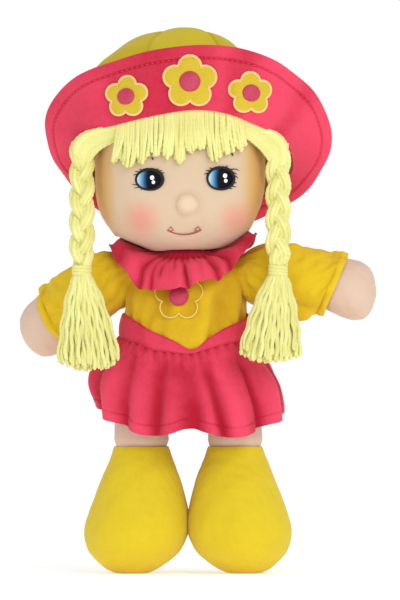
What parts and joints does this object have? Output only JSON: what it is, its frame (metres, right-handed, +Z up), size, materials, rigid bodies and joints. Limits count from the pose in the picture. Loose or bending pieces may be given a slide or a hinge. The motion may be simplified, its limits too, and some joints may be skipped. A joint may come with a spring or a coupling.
{
  "type": "rag doll",
  "caption": "Soft stuffed doll with yarn plaits, brimmed sun hat, blouse, gathered skirt and stuffed boots; hips, shoulders, neck and plaits move.",
  "frame": {"origin": "middle of the doll's box, on the surface it stands on", "axes": "+Z up, the face looks along -Y, the doll's own left side is at +X"},
  "size_m": [0.2262, 0.1286, 0.3501],
  "materials": {
    "skin_cloth": "matte",
    "yarn": "matte",
    "pink_cotton": "matte",
    "yellow_cotton": "matte",
    "crown_cotton": "matte",
    "boot_cloth": "matte",
    "yellow_felt": "matte",
    "pale_stitch": "satin",
    "magenta_stitch": "satin",
    "brown_thread": "satin",
    "eye_print": "satin"
  },
  "bodies": {
    "trunk": {"torso": "skin_cloth", "collar_ruffle": "pink_cotton", "blouse_body": "yellow_cotton", "chest_flower_outline": "pale_stitch", "chest_flower_centre": "magenta_stitch", "waistband": "pink_cotton", "skirt": "pink_cotton"},
    "head": {"head": "skin_cloth", "nose": "skin_cloth", "mouth_stitch": "brown_thread", "right_eye": "eye_print", "left_eye": "eye_print", "hair_fringe": "yarn", "back_hair": "yarn", "right_hair_swoop": "yarn", "left_hair_swoop": "yarn", "hat_crown": "crown_cotton", "hat_brim": "pink_cotton", "centre_hat_flower": "yellow_felt", "right_hat_flower": "yellow_felt", "left_hat_flower": "yellow_felt", "centre_hat_flower_edge": "pale_stitch", "right_hat_flower_edge": "pale_stitch", "left_hat_flower_edge": "pale_stitch", "centre_hat_flower_centre": "magenta_stitch", "right_hat_flower_centre": "magenta_stitch", "left_hat_flower_centre": "magenta_stitch"},
    "right_plait": {"right_plait": "yarn", "right_plait_tie": "yarn", "right_plait_tassel": "yarn"},
    "left_plait": {"left_plait": "yarn", "left_plait_tie": "yarn", "left_plait_tassel": "yarn"},
    "right_arm": {"right_arm": "skin_cloth", "right_sleeve": "yellow_cotton"},
    "left_arm": {"left_arm": "skin_cloth", "left_sleeve": "yellow_cotton"},
    "right_leg": {"right_leg": "skin_cloth", "right_boot": "boot_cloth"},
    "left_leg": {"left_leg": "skin_cloth", "left_boot": "boot_cloth"}
  },
  "joints": [
    {"name": "head_tilt", "type": "hinge", "parent": "trunk", "child": "head", "pos_m": [-0.00788, -0.00829, 0.206], "axis": [0, 1, 0], "range_deg": [-8, 8], "deforming": ["collar_ruffle"]},
    {"name": "right_plait_swing", "type": "hinge", "parent": "head", "child": "right_plait", "pos_m": [-0.07387, -0.03229, 0.271], "axis": [0, 1, 0], "range_deg": [0, 60]},
    {"name": "left_plait_swing", "type": "hinge", "parent": "head", "child": "left_plait", "pos_m": [0.05112, -0.03229, 0.271], "axis": [0, -1, 0], "range_deg": [0, 60]},
    {"name": "right_shoulder", "type": "hinge", "parent": "trunk", "child": "right_arm", "pos_m": [-0.05137, -0.00829, 0.191], "axis": [0, 1, 0], "range_deg": [-10, 58], "deforming": ["right_sleeve", "collar_ruffle"]},
    {"name": "left_shoulder", "type": "hinge", "parent": "trunk", "child": "left_arm", "pos_m": [0.03562, -0.00829, 0.191], "axis": [0, -1, 0], "range_deg": [-48, 32], "deforming": ["left_sleeve"]},
    {"name": "right_hip", "type": "hinge", "parent": "trunk", "child": "right_leg", "pos_m": [-0.03617, -0.00829, 0.124], "axis": [-1, 0, 0], "range_deg": [-18, 75], "deforming": ["skirt"]},
    {"name": "left_hip", "type": "hinge", "parent": "trunk", "child": "left_leg", "pos_m": [0.02382, -0.00829, 0.124], "axis": [-1, 0, 0], "range_deg": [-18, 75]}
  ]
}
